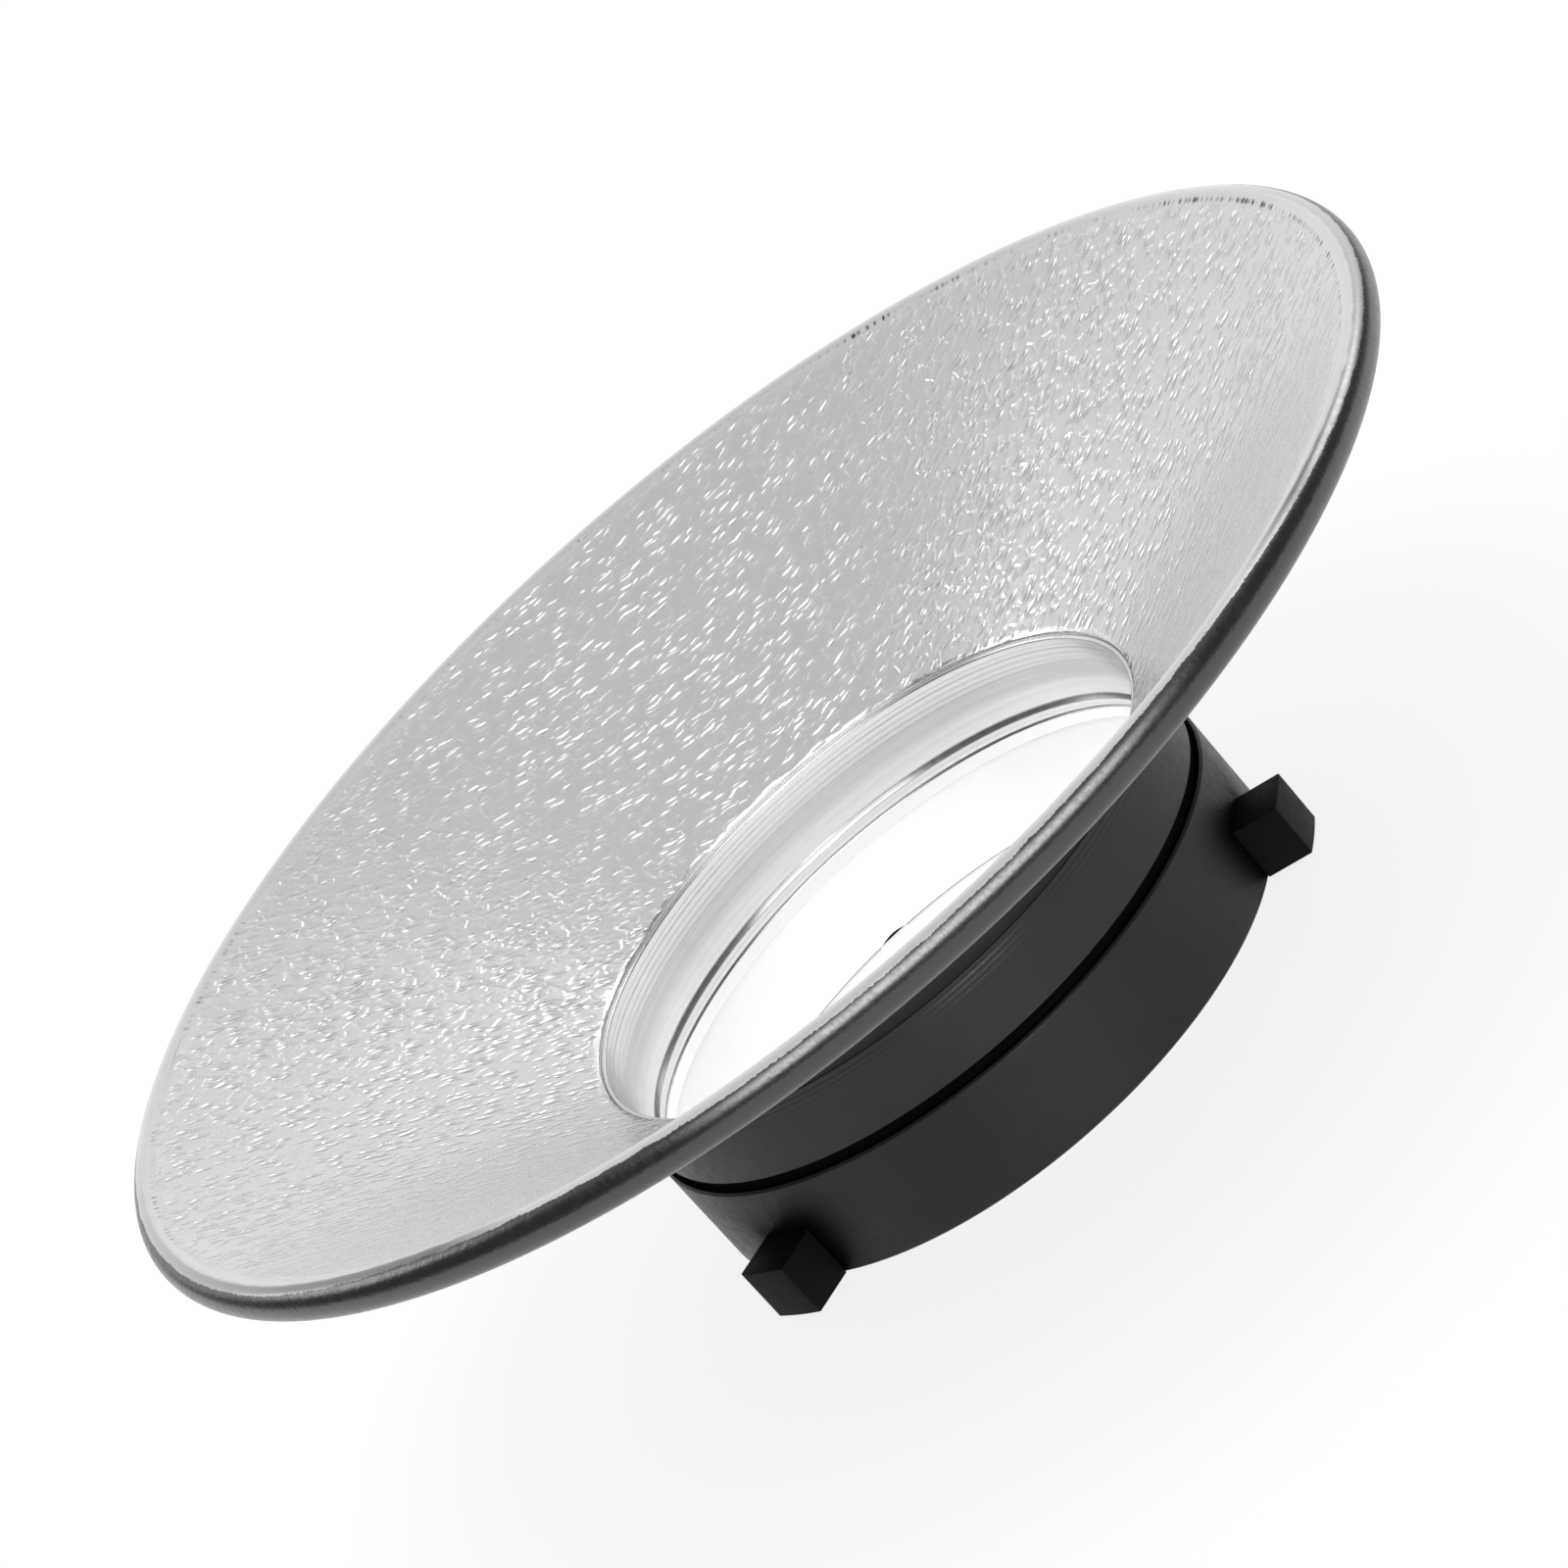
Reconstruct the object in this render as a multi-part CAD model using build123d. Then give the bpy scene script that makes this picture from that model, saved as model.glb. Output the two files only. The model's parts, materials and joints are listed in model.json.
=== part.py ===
# Wide-angle dish reflector for a studio flash head, with a three-lug bayonet.
# Millimetres. +Z is the way the dish opens. The origin is the centre of the
# mount ring's rear face, so the reflector stands on z = 0.
from build123d import *
import math
import os

os.makedirs("parts", exist_ok=True)

# ---------------------------------------------------------------- dimensions
# dish: a straight cone of spun sheet with a curled rim
rim_center_r = 106.10      # centre of the curl's section
rim_center_z = 59.58
rim_curl_r = 2.75          # outer radius of the curl
sheet_t = 1.30             # wall of the dish and of the curl
cone_deg = 28.60           # slope of the dish wall above the horizontal
curl_end_deg = -171.0      # where the curl's loose edge stops, under the wall
dish_edge_r = 47.60        # hole that the neck's lip stands in
seam_gap = 0.02            # between seated faces

# neck collar: a spun tube with a lip, a rolled groove and a thinned spigot
neck_in_r = 46.84
neck_out_r = 48.29
lip_r = 0.35               # half thickness of the rounded lip
lip_top_z = 30.42
groove_top_z = 18.40
groove_floor_top_z = 18.05
groove_floor_bot_z = 17.00
groove_floor_r = 47.55
ridge_top_z = 19.35
ridge_in_r = 46.32
ridge_floor_top_z = 18.60
ridge_floor_bot_z = 17.20
spigot_in_r = 47.40
spigot_out_r = 48.03

# mount ring: outside diameter 98, the plug of the bayonet
ring_out_r = 49.00
ring_in_r = 47.10
ring_top_z = 16.90
ring_seat_z = 14.30        # shoulder that the spigot stands on
ring_seat_r = 48.05
ring_edge_c = 0.35         # outer edges
ring_bore_cr = 0.60        # rear bore chamfer, radial
ring_bore_cz = 0.50        # rear bore chamfer, axial

# retaining ring: expands the spigot into the mount ring
keep_in_r = 46.75
keep_out_r = 47.38
keep_top_z = 16.60
keep_edge_c = 0.18

# bayonet lugs: angles from -Y towards +X
lug_angles = (-56.5, 63.5, 183.5)
lug_width = 9.20
lug_tip_r = 56.20
lug_height = 8.70
lug_edge_c = 0.15
key_width = 5.20           # key in the ring's rear edge, with a crowned top
key_height = 0.75
key_end_height = 0.20
key_in_r = 48.00           # the key stops short of the bore
key_clear = 0.05

# one countersunk rivet holds each lug
rivet_r = 1.60
rivet_head_r = 2.80
rivet_head_h = 1.10
rivet_z = 4.60
rivet_tip_r = 53.20
rivet_clear = 0.02

# -------------------------------------------------------------------- helpers


def spun(edges):
    """Solid of revolution about Z from a closed outline in (r, z)."""
    return revolve(Face(Wire(edges)), axis=Axis.Z, revolution_arc=360)


def P(r, z):
    return Vector(r, 0, z)


def seg(a, b):
    return Edge.make_line(P(*a), P(*b))


def outline(points):
    return [seg(points[i], points[(i + 1) % len(points)]) for i in range(len(points))]


def arc3(a, m, b):
    return Edge.make_three_point_arc(P(*a), P(*m), P(*b))


def turned(shape, deg):
    """Turn a shape that was made on the -Y side to its angle."""
    return shape.rotate(Axis.Z, deg)


# ----------------------------------------------------------------------- dish
s = math.radians(cone_deg)
n_deg = 90.0 + cone_deg                       # where the wall leaves the curl
slope = math.tan(s)


def on_curl(r, deg):
    a = math.radians(deg)
    return (rim_center_r + r * math.cos(a), rim_center_z + r * math.sin(a))


curl_in_r = rim_curl_r - sheet_t
t_out = on_curl(rim_curl_r, n_deg)
t_in = on_curl(curl_in_r, n_deg)


def wall_top(r):
    return t_out[1] - (t_out[0] - r) * slope


def wall_under(r):
    return t_in[1] - (t_in[0] - r) * slope


e_out = on_curl(rim_curl_r, curl_end_deg)
e_in = on_curl(curl_in_r, curl_end_deg)
mid_deg = 0.5 * (n_deg + curl_end_deg)
edge_c = 0.15
dish_edges = [
    seg((dish_edge_r + edge_c, wall_top(dish_edge_r + edge_c)), t_out),
    arc3(t_out, on_curl(rim_curl_r, mid_deg), e_out),
    seg(e_out, e_in),
    arc3(e_in, on_curl(curl_in_r, mid_deg), t_in),
    seg(t_in, (dish_edge_r, wall_under(dish_edge_r))),
    seg((dish_edge_r, wall_under(dish_edge_r)), (dish_edge_r, wall_top(dish_edge_r) - edge_c)),
    seg((dish_edge_r, wall_top(dish_edge_r) - edge_c), (dish_edge_r + edge_c, wall_top(dish_edge_r + edge_c))),
]
reflector_dish = spun(dish_edges)

# ---------------------------------------------------------------- neck collar
lip_cr = neck_in_r + lip_r
lip_cz = lip_top_z - lip_r
lip_or = neck_in_r + 2 * lip_r
sh_in = (lip_or, wall_under(lip_or) - seam_gap)
sh_out = (neck_out_r, wall_under(neck_out_r) - seam_gap)
neck_edges = [
    arc3((neck_in_r, lip_cz), (lip_cr, lip_top_z), (lip_or, lip_cz)),
    seg((lip_or, lip_cz), sh_in),
    seg(sh_in, sh_out),
    seg(sh_out, (neck_out_r, groove_top_z)),
    seg((neck_out_r, groove_top_z), (groove_floor_r, groove_floor_top_z)),
    seg((groove_floor_r, groove_floor_top_z), (groove_floor_r, groove_floor_bot_z)),
    seg((groove_floor_r, groove_floor_bot_z), (spigot_out_r, keep_top_z)),
    seg((spigot_out_r, keep_top_z), (spigot_out_r, ring_seat_z + seam_gap)),
    seg((spigot_out_r, ring_seat_z + seam_gap), (spigot_in_r, ring_seat_z + seam_gap)),
    seg((spigot_in_r, ring_seat_z + seam_gap), (spigot_in_r, keep_top_z + seam_gap)),
    seg((spigot_in_r, keep_top_z + seam_gap), (neck_in_r, keep_top_z + seam_gap)),
    seg((neck_in_r, keep_top_z + seam_gap), (ridge_in_r, ridge_floor_bot_z)),
    seg((ridge_in_r, ridge_floor_bot_z), (ridge_in_r, ridge_floor_top_z)),
    seg((ridge_in_r, ridge_floor_top_z), (neck_in_r, ridge_top_z)),
    seg((neck_in_r, ridge_top_z), (neck_in_r, lip_cz)),
]
neck_collar = spun(neck_edges)

# ------------------------------------------------------------- retaining ring
k = keep_edge_c
retaining_ring = spun(outline([
    (keep_in_r + k, ring_seat_z + seam_gap), (keep_out_r, ring_seat_z + seam_gap),
    (keep_out_r, keep_top_z), (keep_in_r + k, keep_top_z),
    (keep_in_r, keep_top_z - k), (keep_in_r, ring_seat_z + seam_gap + k)]))

# ------------------------------------------------------------------ mount ring
c = ring_edge_c
ring = spun(outline([
    (ring_in_r, ring_bore_cz), (ring_in_r + ring_bore_cr, 0), (ring_out_r - c, 0),
    (ring_out_r, c), (ring_out_r, ring_top_z - c), (ring_out_r - c, ring_top_z),
    (ring_seat_r, ring_top_z), (ring_seat_r, ring_seat_z), (ring_in_r, ring_seat_z)]))

# ------------------------------------------------------------------------ lugs
# made on the -Y side, then turned


def key_block(width, height, end_height, r0, r1):
    # a flat-bottomed segment: end_height at its two ends, height in the middle
    rise = height - end_height
    crown_r = ((width / 2) ** 2 + rise ** 2) / (2 * rise)
    block = Pos(0, -(r0 + r1) / 2, height / 2) * Box(width, r1 - r0, height)
    crown = Pos(0, -(r0 + r1) / 2, height - crown_r) * Rot(90, 0, 0) * Cylinder(crown_r, r1 - r0 + 1)
    return block & crown


def rivet_body(r, head_r, head_h, r_in, r_tip):
    # along -Y from the bore; the head's face is trimmed to the bore's curve
    shank = Pos(0, -(r_in - 1 + r_tip) / 2, rivet_z) * Rot(90, 0, 0) * Cylinder(r, r_tip - r_in + 1)
    head = Pos(0, -(r_in - 0.6 + head_h / 2), rivet_z) * Rot(90, 0, 0) * Cone(
        head_r, r, head_h + 1.2 - 0.6)
    return shank + head


lug_tip = Pos(0, 0, lug_height / 2) * Cylinder(lug_tip_r, lug_height)
lug_root = Pos(0, 0, lug_height / 2) * Cylinder(ring_out_r, lug_height + 2)
lug_blank = (Pos(0, -52, lug_height / 2) * Box(lug_width, 12, lug_height)) & lug_tip
lug_blank = lug_blank - lug_root
tip_edges = lug_blank.edges().filter_by(
    lambda e: e.center().Y < -(ring_out_r + 1.0) or abs(e.center().X) > lug_width / 2 - 0.01)
tip_edges = tip_edges.filter_by(lambda e: e.center().Y < -(ring_out_r + 0.2))
lug_body = chamfer(tip_edges, lug_edge_c)
key = key_block(key_width, key_height, key_end_height, key_in_r, ring_out_r + 1.5)
bore_core = Pos(0, 0, rivet_z) * Cylinder(ring_in_r, 20)
rivet_hole = rivet_body(rivet_r + rivet_clear, rivet_head_r + rivet_clear, rivet_head_h,
                        ring_in_r, rivet_tip_r + rivet_clear)
lug_one = (lug_body + key) - rivet_hole
rivet_one = rivet_body(rivet_r, rivet_head_r, rivet_head_h, ring_in_r, rivet_tip_r) - bore_core

notch = key_block(key_width + 2 * key_clear, key_height + key_clear, key_end_height + key_clear,
                  ring_in_r - 2.0, ring_out_r + 1.0)
for a in lug_angles:
    ring = ring - turned(notch, a) - turned(rivet_hole, a)

# --------------------------------------------------------------------- export
nodes = {
    "reflector_dish": reflector_dish,
    "neck_collar": neck_collar,
    "retaining_ring": retaining_ring,
    "mount_ring": ring,
    "bayonet_lug_left": turned(lug_one, lug_angles[0]),
    "bayonet_lug_right": turned(lug_one, lug_angles[1]),
    "bayonet_lug_top": turned(lug_one, lug_angles[2]),
    "lug_rivets": Compound(children=[turned(rivet_one, a).solid() for a in lug_angles]),
}
for name, shape in nodes.items():
    export_step(shape, "parts/%s.step" % name)
    bb = shape.bounding_box()
    print(name, len(shape.solids()), round(shape.volume, 1),
          [round(v, 2) for v in (bb.min.X, bb.min.Y, bb.min.Z, bb.max.X, bb.max.Y, bb.max.Z)])
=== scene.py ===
import json
import math

import bmesh
import bpy
import numpy as np
from mathutils import Matrix, Vector

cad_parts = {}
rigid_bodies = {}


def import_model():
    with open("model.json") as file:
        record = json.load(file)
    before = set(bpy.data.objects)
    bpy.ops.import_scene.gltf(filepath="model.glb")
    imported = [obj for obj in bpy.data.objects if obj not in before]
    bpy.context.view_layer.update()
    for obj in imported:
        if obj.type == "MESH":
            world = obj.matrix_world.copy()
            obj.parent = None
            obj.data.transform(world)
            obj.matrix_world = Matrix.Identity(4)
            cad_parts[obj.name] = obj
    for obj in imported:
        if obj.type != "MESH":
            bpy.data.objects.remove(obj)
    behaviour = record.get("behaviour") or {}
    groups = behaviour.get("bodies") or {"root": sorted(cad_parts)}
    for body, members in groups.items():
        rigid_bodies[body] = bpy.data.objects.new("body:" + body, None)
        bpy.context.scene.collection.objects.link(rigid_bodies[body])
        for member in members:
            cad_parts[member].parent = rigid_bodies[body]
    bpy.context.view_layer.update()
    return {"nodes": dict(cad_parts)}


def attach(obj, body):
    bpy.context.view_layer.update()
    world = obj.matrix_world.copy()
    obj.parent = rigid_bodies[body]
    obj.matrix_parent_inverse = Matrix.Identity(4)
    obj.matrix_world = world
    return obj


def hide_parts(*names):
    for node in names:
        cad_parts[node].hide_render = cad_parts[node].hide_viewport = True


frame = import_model()
scene = bpy.context.scene
MM = 0.001

# ------------------------------------------------------------------ the camera
# the reference view: 24 degrees above the rim plane, rolled by 41.5 degrees
RIGHT = Vector((0.7482845, -0.2345980, -0.6205111))
UP = Vector((0.6633779, 0.2647957, 0.6998664))
BACK = Vector((0.0001214, -0.9353326, 0.3537697))
cam_data = bpy.data.cameras.new("view_camera")
cam = bpy.data.objects.new("view_camera", cam_data)
scene.collection.objects.link(cam)
cam_data.sensor_width = 36.0
cam_data.lens = 5540.4414 / 1600.0 * 36.0
cam_data.clip_start, cam_data.clip_end = 0.01, 60.0
cam_data.dof.use_dof = False
m = Matrix.Identity(4)
for i, axis in enumerate((RIGHT, UP, BACK)):
    for j in range(3):
        m[j][i] = axis[j]
m.translation = Vector((0.0, -0.7088926, 0.3162906))
cam.matrix_world = m
scene.camera = cam

# ---------------------------------------------------------- dimensions, in mm
RIM_R, RIM_Z, CURL_R, SHEET_T, CONE = 106.10, 59.58, 2.75, 1.30, math.radians(28.60)
DISH_EDGE_R = 47.60
NECK_IN, NECK_OUT = 46.84, 48.29
LIP_TOP = 30.42
RING_OUT, RING_IN, RING_TOP, RING_SEAT, RING_SEAT_R = 49.00, 47.10, 16.90, 14.30, 48.05
LUG_ANGLES = {"bayonet_lug_left": -56.5, "bayonet_lug_right": 63.5, "bayonet_lug_top": 183.5}
LUG_W, LUG_TIP, LUG_H = 9.20, 56.20, 8.70
KEY_W, KEY_H, KEY_END, KEY_IN = 5.20, 0.75, 0.20, 48.00
TAU = 2 * math.pi

N_DEG = math.degrees(CONE) + 90.0
SLOPE = math.tan(CONE)
T_OUT = (RIM_R + CURL_R * math.cos(math.radians(N_DEG)), RIM_Z + CURL_R * math.sin(math.radians(N_DEG)))
CI = CURL_R - SHEET_T
T_IN = (RIM_R + CI * math.cos(math.radians(N_DEG)), RIM_Z + CI * math.sin(math.radians(N_DEG)))


def wall_top(r):
    return T_OUT[1] - (T_OUT[0] - r) * SLOPE


def wall_under(r):
    return T_IN[1] - (T_IN[0] - r) * SLOPE


# ------------------------------------------------------------- smooth noise
def ring_noise(t, seed, lo, hi):
    """A smooth periodic curve of the angle t, about -1 to 1."""
    rng = np.random.default_rng(seed)
    out = np.zeros_like(t)
    for k in range(lo, hi + 1):
        a, p = rng.normal(), rng.uniform(0, TAU)
        out += a * np.cos(k * t + p) / math.sqrt(hi - lo + 1)
    return out * 0.75


def value_noise(u, v, seed):
    """Smooth 2-D value noise on arrays; u is periodic by its own wrap outside."""
    rng = np.random.default_rng(seed)
    table = rng.uniform(-1, 1, (256, 256))
    iu, iv = np.floor(u).astype(int), np.floor(v).astype(int)
    fu, fv = u - iu, v - iv
    fu, fv = fu * fu * (3 - 2 * fu), fv * fv * (3 - 2 * fv)
    a = table[iu % 256, iv % 256]
    b = table[(iu + 1) % 256, iv % 256]
    c = table[iu % 256, (iv + 1) % 256]
    d = table[(iu + 1) % 256, (iv + 1) % 256]
    return (a * (1 - fu) + b * fu) * (1 - fv) + (c * (1 - fu) + d * fu) * fv


# ------------------------------------------------------------- mesh helpers
def link(name, mesh):
    ob = bpy.data.objects.new(name, mesh)
    scene.collection.objects.link(ob)
    return ob


def spun_mesh(name, R, Z, attributes=None, mats=(), face_mat=None):
    """A closed solid of revolution. R and Z are (segments, points) arrays in mm.
    Column j of row i is the j-th point of the closed outline at angle i."""
    n, k = R.shape
    t = np.arange(n) / n * TAU
    co = np.stack([R * np.sin(t)[:, None], -R * np.cos(t)[:, None], Z], axis=2).reshape(-1, 3) * MM
    i = np.arange(n)[:, None]
    j = np.arange(k)[None, :]
    i2, j2 = (i + 1) % n, (j + 1) % k
    quads = np.stack([i * k + j, i2 * k + j, i2 * k + j2, i * k + j2], axis=2).reshape(-1, 4)
    mesh = bpy.data.meshes.new(name)
    mesh.vertices.add(len(co))
    mesh.vertices.foreach_set("co", co.astype(np.float32).ravel())
    mesh.loops.add(quads.size)
    mesh.loops.foreach_set("vertex_index", quads.ravel().astype(np.int32))
    mesh.polygons.add(len(quads))
    mesh.polygons.foreach_set("loop_start", (np.arange(len(quads)) * 4).astype(np.int32))
    mesh.polygons.foreach_set("loop_total", np.full(len(quads), 4, np.int32))
    mesh.update(calc_edges=True)
    for key, value in (attributes or {}).items():
        a = mesh.attributes.new(key, "FLOAT", "POINT")
        a.data.foreach_set("value", np.broadcast_to(value, (n, k)).astype(np.float32).ravel())
    for mt in mats:
        mesh.materials.append(mt)
    if face_mat is not None:
        mesh.polygons.foreach_set("material_index", np.broadcast_to(face_mat, (n, k)).astype(np.int32).ravel())
    mesh.validate()
    # outward normals: the outline's area is positive when it runs anticlockwise in (r, z)
    r, z = R[0], Z[0]
    if float(np.sum(r * np.roll(z, -1) - np.roll(r, -1) * z)) < 0:
        mesh.flip_normals()
    return link(name, mesh)


def shade(ob, degrees=35.0):
    mesh = ob.data
    mesh.polygons.foreach_set("use_smooth", np.ones(len(mesh.polygons), bool))
    mesh.set_sharp_from_angle(angle=math.radians(degrees))
    mesh.update()


def seg_pts(a, b, n):
    """n points from a up to but not including b."""
    s = np.arange(n) / n
    return [(a[0] + (b[0] - a[0]) * x, a[1] + (b[1] - a[1]) * x) for x in s]


def arc_pts(c, r, d0, d1, n):
    return [(c[0] + r * math.cos(math.radians(d0 + (d1 - d0) * i / n)),
             c[1] + r * math.sin(math.radians(d0 + (d1 - d0) * i / n))) for i in range(n)]


def rounded(points, radii, steps=4):
    """A closed outline with its corners rounded: points (r, z), a radius for each."""
    out = []
    n = len(points)
    for i in range(n):
        p0, p1, p2 = (np.array(points[(i + d) % n], float) for d in (-1, 0, 1))
        rad = radii[i]
        if rad <= 0:
            out.append(tuple(p1))
            continue
        a, b = (p0 - p1), (p2 - p1)
        la, lb = np.linalg.norm(a), np.linalg.norm(b)
        a, b = a / la, b / lb
        ang = math.acos(max(-1, min(1, float(a @ b))))
        cut = min(rad / math.tan(ang / 2), 0.45 * la, 0.45 * lb)
        rr = cut * math.tan(ang / 2)
        mid = a + b
        mid /= np.linalg.norm(mid)
        c = p1 + mid * rr / math.sin(ang / 2)
        s, e = p1 + a * cut, p1 + b * cut
        a0 = math.atan2(*(s - c)[::-1])
        a1 = math.atan2(*(e - c)[::-1])
        d = (a1 - a0 + math.pi) % TAU - math.pi
        for q in range(steps + 1):
            w = a0 + d * q / steps
            out.append((c[0] + rr * math.cos(w), c[1] + rr * math.sin(w)))
    return out


def even(points, step):
    """Adds points on long straight runs of a closed outline."""
    out = []
    n = len(points)
    for i in range(n):
        a, b = np.array(points[i], float), np.array(points[(i + 1) % n], float)
        L = float(np.linalg.norm(b - a))
        out += [tuple(a + (b - a) * q / max(1, math.ceil(L / step))) for q in range(max(1, math.ceil(L / step)))]
    return out


# ---------------------------------------------------------------- materials
def new_mat(name):
    mt = bpy.data.materials.new(name)
    mt.use_nodes = True
    nt = mt.node_tree
    nt.nodes.clear()
    out = nt.nodes.new("ShaderNodeOutputMaterial")
    return mt, nt, out


def nd(nt, kind, **sets):
    n = nt.nodes.new(kind)
    for key, value in sets.items():
        if key in n.inputs.keys():
            n.inputs[key].default_value = value
        else:
            setattr(n, key, value)
    return n


def ramp(nt, fac, stops):
    r = nt.nodes.new("ShaderNodeValToRGB")
    while len(r.color_ramp.elements) < len(stops):
        r.color_ramp.elements.new(0.5)
    for e, (pos, col) in zip(r.color_ramp.elements, stops):
        e.position = pos
        e.color = (*col, 1.0) if len(col) == 3 else col
    nt.links.new(fac, r.inputs["Fac"])
    return r.outputs["Color"]


def maprange(nt, value, a, b, c, d, smooth=False):
    n = nt.nodes.new("ShaderNodeMapRange")
    n.interpolation_type = "SMOOTHSTEP" if smooth else "LINEAR"
    n.inputs["From Min"].default_value, n.inputs["From Max"].default_value = a, b
    n.inputs["To Min"].default_value, n.inputs["To Max"].default_value = c, d
    nt.links.new(value, n.inputs["Value"])
    return n.outputs["Result"]


def math_node(nt, op, a, b=None, clamp=False):
    n = nt.nodes.new("ShaderNodeMath")
    n.operation = op
    n.use_clamp = clamp
    for i, v in enumerate((a, b)):
        if v is None:
            continue
        if isinstance(v, (int, float)):
            n.inputs[i].default_value = v
        else:
            nt.links.new(v, n.inputs[i])
    return n.outputs[0]


def noise(nt, vec, scale, detail=3.0, rough=0.55, stretch=None):
    if stretch is not None:
        mp = nt.nodes.new("ShaderNodeMapping")
        mp.inputs["Scale"].default_value = stretch
        nt.links.new(vec, mp.inputs["Vector"])
        vec = mp.outputs["Vector"]
    n = nd(nt, "ShaderNodeTexNoise", Scale=scale, Detail=detail, Roughness=rough)
    nt.links.new(vec, n.inputs["Vector"])
    return n.outputs["Fac"]


def bump(nt, height, strength, distance, normal=None):
    b = nd(nt, "ShaderNodeBump", Strength=strength, Distance=distance)
    nt.links.new(height, b.inputs["Height"])
    if normal is not None:
        nt.links.new(normal, b.inputs["Normal"])
    return b.outputs["Normal"]


def coords(nt):
    tc = nt.nodes.new("ShaderNodeTexCoord")
    return tc.outputs["Object"]


def attr(nt, name):
    a = nt.nodes.new("ShaderNodeAttribute")
    a.attribute_name = name
    return a.outputs["Fac"]


def silver(nt, vec, base, rough, turned=0.0, grain=0.0, bands=False):
    """A bright aluminium shader. turned adds fine lathe lines round the axis; bands multiplies the colour by streaks
    and by the painted shade in the tone_and_painted_shade attribute.
    """
    p = nd(nt, "ShaderNodeBsdfPrincipled", Metallic=1.0)
    tone_and_painted_shade = noise(nt, vec, 55.0, 4.0, 0.6)
    col = ramp(nt, tone_and_painted_shade, [(0.30, tuple(c * 0.965 for c in base)), (0.70, base)])
    if bands:
        streak = noise(nt, vec, 1.0, 5.0, 0.7, stretch=(14.0, 14.0, 1500.0))
        # painted shade: on the neck the colour is also multiplied by the tone_and_painted_shade attribute
        streak_and_painted_shade = math_node(nt, "MULTIPLY", maprange(nt, streak, 0.32, 0.68, 0.88, 1.0), attr(nt, "tone_and_painted_shade"))
        mul = nt.nodes.new("ShaderNodeMix")
        mul.data_type = "RGBA"
        mul.blend_type = "MULTIPLY"
        mul.inputs["Factor"].default_value = 1.0
        nt.links.new(col, mul.inputs[6])
        nt.links.new(streak_and_painted_shade, mul.inputs[7])
        col = mul.outputs[2]
    nt.links.new(col, p.inputs["Base Color"])
    fine = noise(nt, vec, 900.0, 3.0, 0.6)
    nt.links.new(maprange(nt, fine, 0.3, 0.7, rough - 0.05, rough + 0.05), p.inputs["Roughness"])
    normal = None
    if grain:
        normal = bump(nt, noise(nt, vec, 1600.0, 2.0, 0.5), grain, 0.00012)
    if turned:
        lines = noise(nt, vec, 1.0, 4.0, 0.7, stretch=(3.0, 3.0, 2600.0))
        normal = bump(nt, lines, turned, 0.00010, normal)
    if normal is not None:
        nt.links.new(normal, p.inputs["Normal"])
    return p


def coat(nt, vec, base=0.016, rough=0.42, peel=0.35, spec=0.14, scale=1500.0, contact=False):
    """Satin black powder coat; contact darkens it near the lugs as painted shade."""
    p = nd(nt, "ShaderNodeBsdfPrincipled", Metallic=0.0)
    p.inputs["Specular IOR Level"].default_value = spec
    cloud = noise(nt, vec, 38.0, 4.0, 0.6)
    col = ramp(nt, cloud, [(0.3, (base * 0.85, base * 0.85, base * 0.88)), (0.7, (base * 1.2, base * 1.2, base * 1.24))])
    if contact:
        # painted shade: the coat's colour and sheen are darker close to the lugs, standing in for the shadow that falls
        # there
        dark = nt.nodes.new("ShaderNodeMix")
        dark.data_type = "RGBA"
        dark.blend_type = "MULTIPLY"
        dark.inputs["Factor"].default_value = 1.0
        shade_ = maprange(nt, attr(nt, "near"), 0.0, 1.0, 1.0, 0.06)
        nt.links.new(col, dark.inputs[6])
        nt.links.new(shade_, dark.inputs[7])
        col = dark.outputs[2]
        nt.links.new(math_node(nt, "MULTIPLY", shade_, spec), p.inputs["Specular IOR Level"])
    nt.links.new(col, p.inputs["Base Color"])
    fine = noise(nt, vec, 700.0, 3.0, 0.6)
    nt.links.new(maprange(nt, fine, 0.3, 0.7, rough - 0.06, rough + 0.06), p.inputs["Roughness"])
    normal = bump(nt, noise(nt, vec, scale, 2.5, 0.55), peel, 0.00016)
    nt.links.new(normal, p.inputs["Normal"])
    return p


def mix(nt, fac, a, b):
    mx = nt.nodes.new("ShaderNodeMixShader")
    nt.links.new(fac, mx.inputs[0])
    nt.links.new(a.outputs[0], mx.inputs[1])
    nt.links.new(b.outputs[0], mx.inputs[2])
    return mx


EMBOSS_DEPTH = 0.00020
SILVER = (0.80, 0.802, 0.805)
BRIGHT = (0.90, 0.902, 0.905)


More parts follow.
